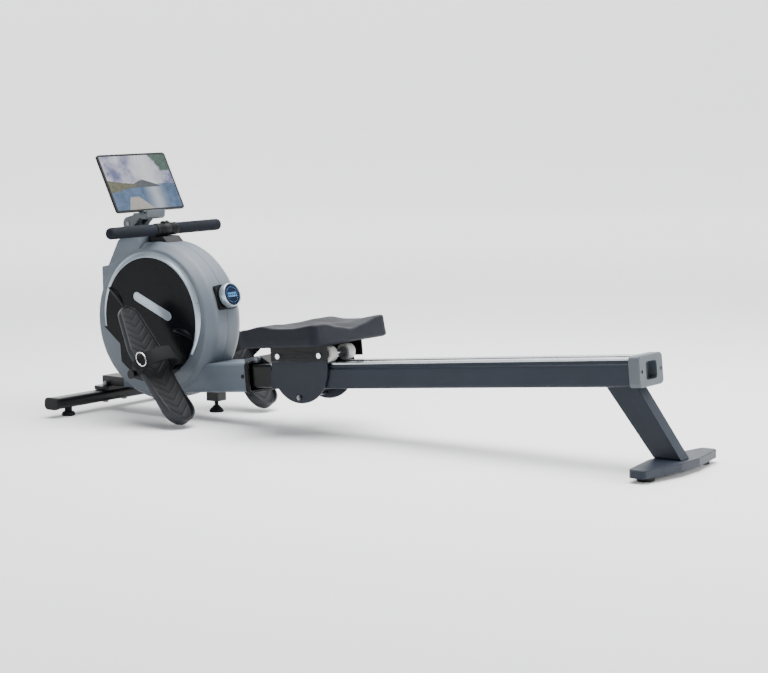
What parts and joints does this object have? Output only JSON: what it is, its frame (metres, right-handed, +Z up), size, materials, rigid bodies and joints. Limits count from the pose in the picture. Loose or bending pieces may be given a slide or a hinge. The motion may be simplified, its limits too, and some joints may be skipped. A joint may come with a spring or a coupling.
{
  "type": "rowing machine",
  "caption": "Folding magnetic rowing machine with a drum casing, pull handle, tilting footrests, a wheeled seat on a rising rail, and a tilting tablet holder.",
  "frame": {"origin": "centre of the footprint on the floor, under the middle of the machine's length", "axes": "+X from the front stabilizer to the rear foot, +Z up; the rower faces -X, so their left is -Y"},
  "size_m": [1.995, 0.53, 0.7645],
  "materials": {
    "frame_paint": "satin",
    "dark_paint": "satin",
    "black_paint": "gloss",
    "housing_plastic": "satin",
    "cover_plastic": "semi-gloss",
    "black_plastic": "satin",
    "cap_plastic": "satin",
    "silver_trim": "brushed",
    "track_steel": "polished",
    "zinc_steel": "plated",
    "chrome": "polished",
    "cast_iron": "machined",
    "aluminium": "satin",
    "rubber": "matte",
    "grip_foam": "matte foam",
    "seat_foam": "moulded foam",
    "roller_plastic": "satin",
    "webbing": "woven",
    "screen_glass": "gloss",
    "magnet": "plated"
  },
  "bodies": {
    "frame": {"main_frame": "frame_paint", "stabilizer_bracket": "black_paint", "front_stabilizer": "black_paint", "stabilizer_end_caps": "black_plastic", "stabilizer_feet": "rubber", "stabilizer_bolts": "zinc_steel", "housing_left": "housing_plastic", "housing_right": "housing_plastic", "side_cover_left": "cover_plastic", "side_cover_right": "cover_plastic", "trim_rings": "silver_trim", "side_badges": "silver_trim", "handlebar_cradle": "black_plastic", "console_base": "black_plastic", "console_display": "screen_glass", "drive_axles": "zinc_steel", "axle_bearings": "zinc_steel", "drive_belt": "rubber", "return_spring": "zinc_steel", "pull_strap": "webbing", "pivot_pins": "zinc_steel", "footrest_axle": "zinc_steel"},
    "flywheel": {"flywheel": "cast_iron", "flywheel_pulley": "aluminium"},
    "spool": {"spool": "black_plastic", "drive_pulley": "black_plastic"},
    "guide_roller": {"guide_roller": "roller_plastic"},
    "brake": {"magnet_bracket": "zinc_steel", "brake_magnets": "magnet"},
    "resistance_knob": {"resistance_knob": "silver_trim"},
    "handlebar": {"handle_tube": "zinc_steel", "handle_grips": "grip_foam", "handle_bracket": "black_plastic"},
    "tablet_holder": {"tablet_holder": "cap_plastic"},
    "tablet": {"tablet_body": "black_plastic", "tablet_screen": "screen_glass"},
    "rail": {"rail_body": "dark_paint", "rail_tracks": "track_steel", "seat_stops": "rubber", "end_cap": "cap_plastic", "rear_leg": "dark_paint", "rear_foot": "dark_paint", "rear_foot_pads": "rubber", "hinge_discs": "dark_paint", "rail_fasteners": "zinc_steel", "hinge_block": "black_paint"},
    "lock_pin": {"lock_pin": "black_plastic"},
    "levelling_foot": {"levelling_foot": "rubber"},
    "seat": {"seat_cushion": "seat_foam", "seat_base": "black_paint", "carriage_plates": "black_paint", "roller_axles": "chrome"},
    "front_rollers": {"front_rollers": "roller_plastic"},
    "rear_rollers": {"rear_rollers": "roller_plastic"},
    "footrest_left": {"footplate_left": "black_plastic", "foot_pad_left": "rubber", "foot_strap_left": "webbing"},
    "footrest_right": {"footplate_right": "black_plastic", "foot_pad_right": "rubber", "foot_strap_right": "webbing"}
  },
  "joints": [
    {"name": "rail_fold", "type": "hinge", "parent": "frame", "child": "rail", "pos_m": [-0.37196, 0, 0.19003], "axis": [0, 1, 0], "range_deg": [-80, 0]},
    {"name": "seat_slide", "type": "slide", "parent": "rail", "child": "seat", "axis": [0.9965, 0, 0.084], "range_m": [0, 0.9]},
    {"name": "front_roller_spin", "type": "hinge", "parent": "seat", "child": "front_rollers", "pos_m": [-0.25391, 0, 0.21223], "axis": [0, 1, 0], "continuous": true},
    {"name": "rear_roller_spin", "type": "hinge", "parent": "seat", "child": "rear_rollers", "pos_m": [-0.10683, 0, 0.22463], "axis": [0, 1, 0], "continuous": true},
    {"name": "handlebar_pull", "type": "slide", "parent": "frame", "child": "handlebar", "axis": [0.9986, 0, 0.0523], "range_m": [0, 1.2], "stiffness_N_per_m": 30, "springref_m": -0.5, "deforming": ["pull_strap"]},
    {"name": "spool_spin", "type": "hinge", "parent": "frame", "child": "spool", "pos_m": [-0.69, 0, 0.405], "axis": [0, 1, 0], "continuous": true},
    {"name": "guide_roller_spin", "type": "hinge", "parent": "frame", "child": "guide_roller", "pos_m": [-0.805, 0, 0.534], "axis": [0, 1, 0], "continuous": true},
    {"name": "flywheel_spin", "type": "hinge", "parent": "frame", "child": "flywheel", "pos_m": [-0.739, 0, 0.289], "axis": [0, 1, 0], "continuous": true},
    {"name": "resistance_turn", "type": "hinge", "parent": "frame", "child": "resistance_knob", "pos_m": [-0.50782, 0, 0.36056], "axis": [0.9553, 0, 0.2957], "range_deg": [0, 300]},
    {"name": "brake_swing", "type": "hinge", "parent": "frame", "child": "brake", "pos_m": [-0.828, 0, 0.462], "axis": [0, 1, 0], "range_deg": [-1.25, 0]},
    {"name": "tablet_tilt", "type": "hinge", "parent": "frame", "child": "tablet_holder", "pos_m": [-0.864, 0, 0.56], "axis": [0, 1, 0], "range_deg": [-20, 8]},
    {"name": "tablet_lift_off", "type": "slide", "parent": "tablet_holder", "child": "tablet", "axis": [-0.4431, 0, 0.8965], "range_m": [0, 0.15]},
    {"name": "left_footrest_tilt", "type": "hinge", "parent": "frame", "child": "footrest_left", "pos_m": [-0.665, -0.182, 0.15], "axis": [0, 1, 0], "range_deg": [-12, 6]},
    {"name": "right_footrest_tilt", "type": "hinge", "parent": "frame", "child": "footrest_right", "pos_m": [-0.665, 0.182, 0.15], "axis": [0, 1, 0], "range_deg": [-12, 6]},
    {"name": "lock_pin_pull", "type": "slide", "parent": "frame", "child": "lock_pin", "axis": [0, 1, 0], "range_m": [0, 0.012], "stiffness_N_per_m": 600, "springref_m": -0.01},
    {"name": "levelling_foot_height", "type": "slide", "parent": "frame", "child": "levelling_foot", "axis": [0, 0, 1], "range_m": [-0.02, 0.004]}
  ],
  "couplings": [
    {"joint": "front_roller_spin", "follows": "seat_slide", "rad_per_m": 44.053},
    {"joint": "rear_roller_spin", "follows": "seat_slide", "rad_per_m": 44.053},
    {"joint": "spool_spin", "follows": "handlebar_pull", "rad_per_m": 40},
    {"joint": "guide_roller_spin", "follows": "handlebar_pull", "rad_per_m": 83.333},
    {"joint": "brake_swing", "follows": "resistance_turn", "ratio": -0.004}
  ]
}
